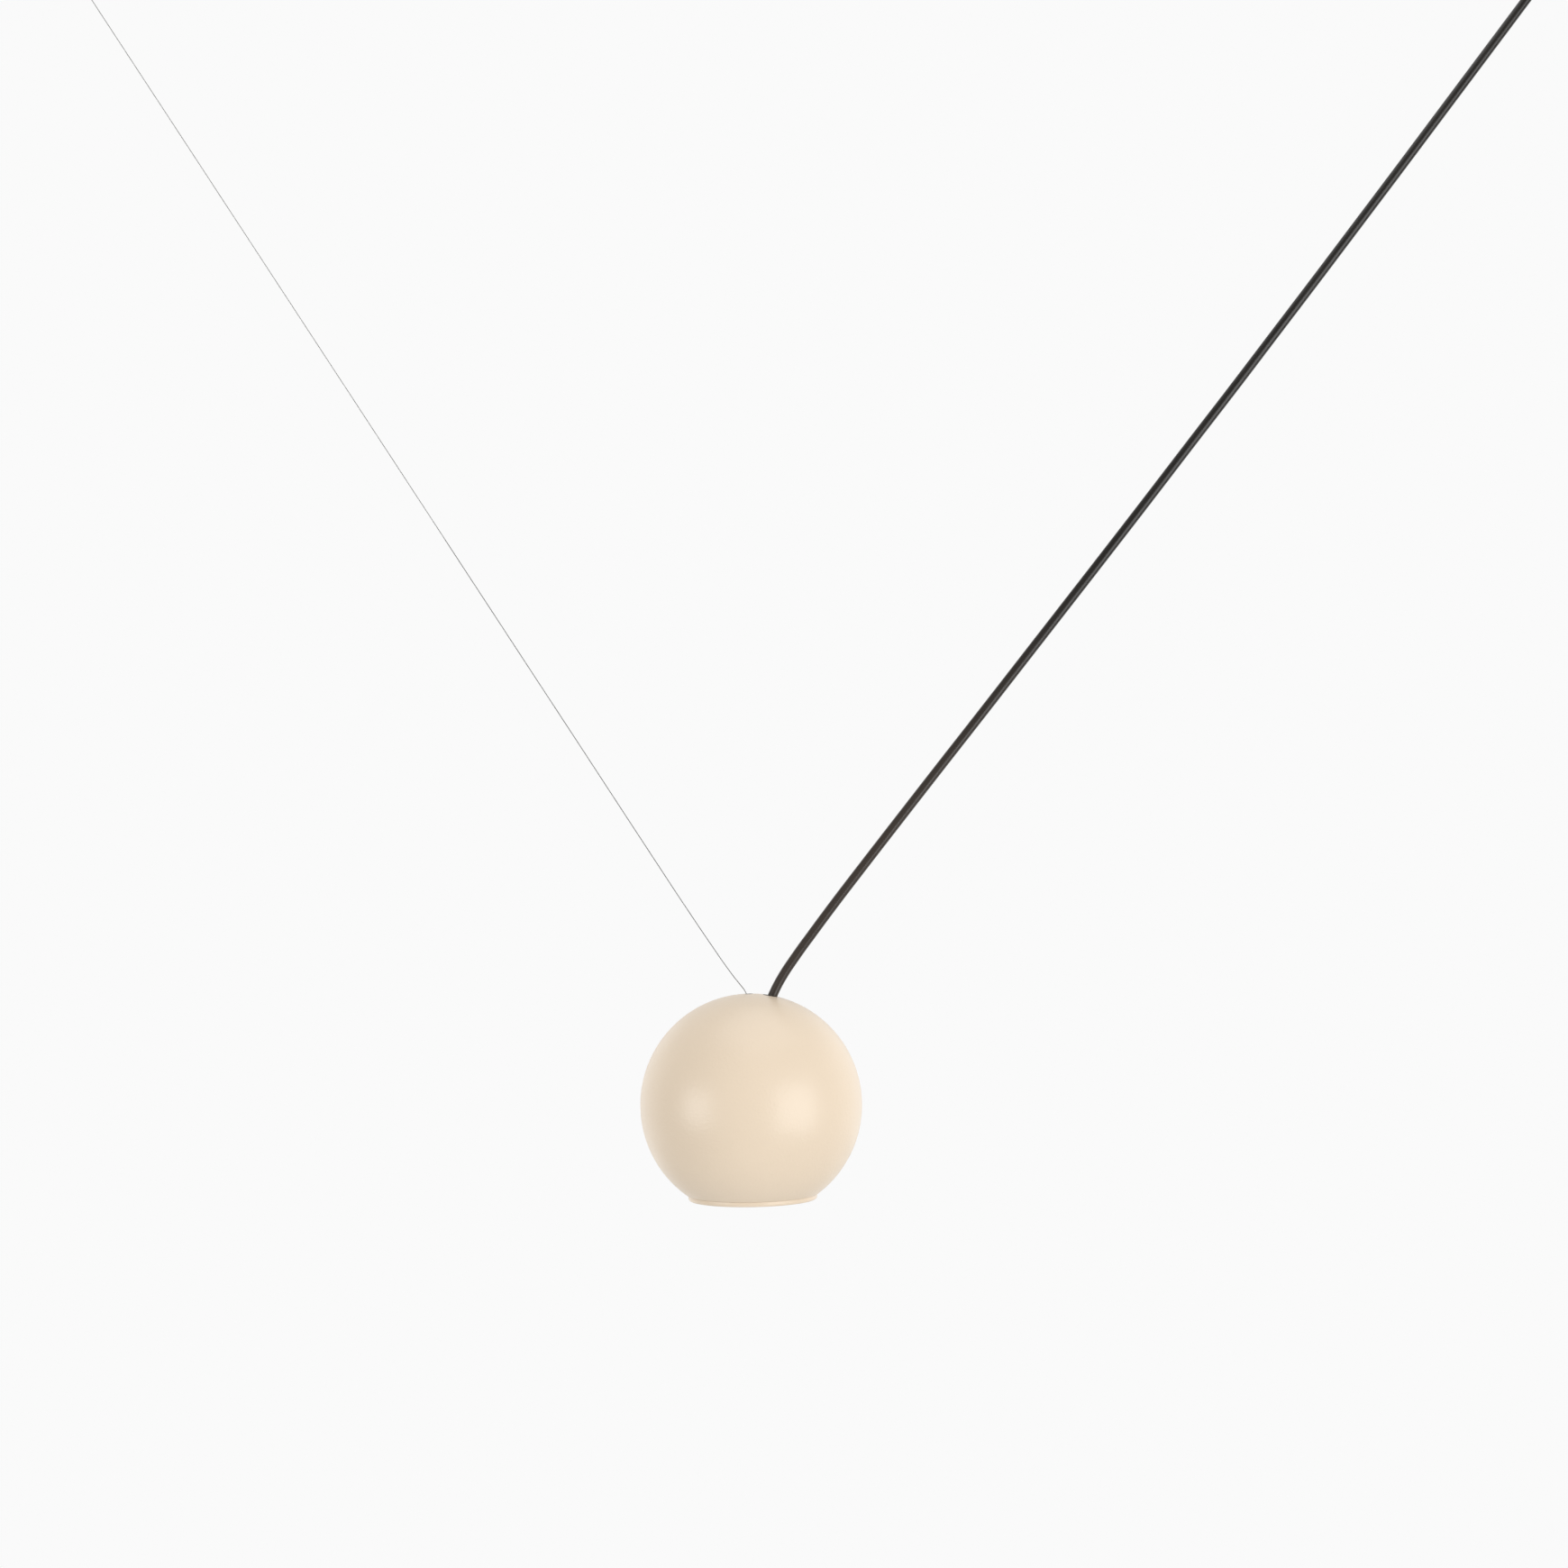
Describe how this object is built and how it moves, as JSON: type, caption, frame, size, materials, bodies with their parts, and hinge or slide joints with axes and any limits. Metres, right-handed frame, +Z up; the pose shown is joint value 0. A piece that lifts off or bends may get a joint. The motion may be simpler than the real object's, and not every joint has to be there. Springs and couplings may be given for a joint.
{
  "type": "pendant light",
  "caption": "Beige ball pendant light that hangs in a V from a black power cable and a thin steel wire, with a light ring under its flat cut.",
  "frame": {"origin": "middle of the cable canopy's bracket on the ceiling face", "axes": "+Z up into the ceiling, +X along the ceiling from the wire anchor to the canopy, +Y away from the viewer"},
  "size_m": [1.016, 0.14, 0.8145],
  "materials": {
    "beige_paint": "satin powder coat",
    "black_rubber": "satin",
    "steel_wire": "bright drawn wire",
    "nickel_steel": "satin nickel",
    "zinc_steel": "zinc plated",
    "brass": "turned",
    "aluminium": "bare casting",
    "white_plastic": "matt",
    "core_insulation": "satin",
    "board_white": "white solder mask",
    "light_source": "gloss",
    "reflector_white": "gloss",
    "opal": "satin opal"
  },
  "bodies": {
    "ceiling": {"canopy_bracket": "zinc_steel", "canopy_clips": "zinc_steel", "canopy_cover": "beige_paint", "canopy_screws": "zinc_steel", "canopy_terminal_block": "white_plastic", "swivel_socket": "nickel_steel", "swivel_ring": "zinc_steel", "anchor_base": "zinc_steel", "anchor_cap": "nickel_steel"},
    "pendant": {"swivel_ball": "nickel_steel", "cable_strain_relief": "black_rubber", "gripper_head": "nickel_steel", "gripper_sleeve": "nickel_steel", "gripper_spring": "zinc_steel", "power_cable": "black_rubber", "suspension_wire": "steel_wire", "wire_ferrule": "steel_wire", "globe_upper": "beige_paint", "globe_lower": "beige_paint", "inner_frame": "zinc_steel", "clamp_saddle": "white_plastic", "clamp_screws": "zinc_steel", "terminal_block": "white_plastic", "cable_cores": "core_insulation", "led_driver": "white_plastic", "driver_leads": "core_insulation", "heat_sink": "aluminium", "frame_screws": "zinc_steel", "led_board": "board_white", "led_chip": "light_source", "reflector": "reflector_white"},
    "ring": {"light_ring": "beige_paint", "diffuser": "opal"},
    "plunger": {"gripper_plunger": "brass", "gripper_balls": "nickel_steel"}
  },
  "joints": [
    {"name": "swing", "type": "hinge", "parent": "ceiling", "child": "pendant", "pos_m": [0, 0, -0.022], "axis": [1, 0, 0], "range_deg": [-20, 20]},
    {"name": "ring_turn", "type": "hinge", "parent": "pendant", "child": "ring", "pos_m": [-0.515, 0, -0.754], "axis": [0.0175, 0, -0.9998], "range_deg": [0, 25]},
    {"name": "gripper_release", "type": "slide", "parent": "pendant", "child": "plunger", "axis": [-0.5469, 0, 0.8372], "range_m": [0, 0.0025], "stiffness_N_per_m": 300, "deforming": ["gripper_spring"]}
  ]
}
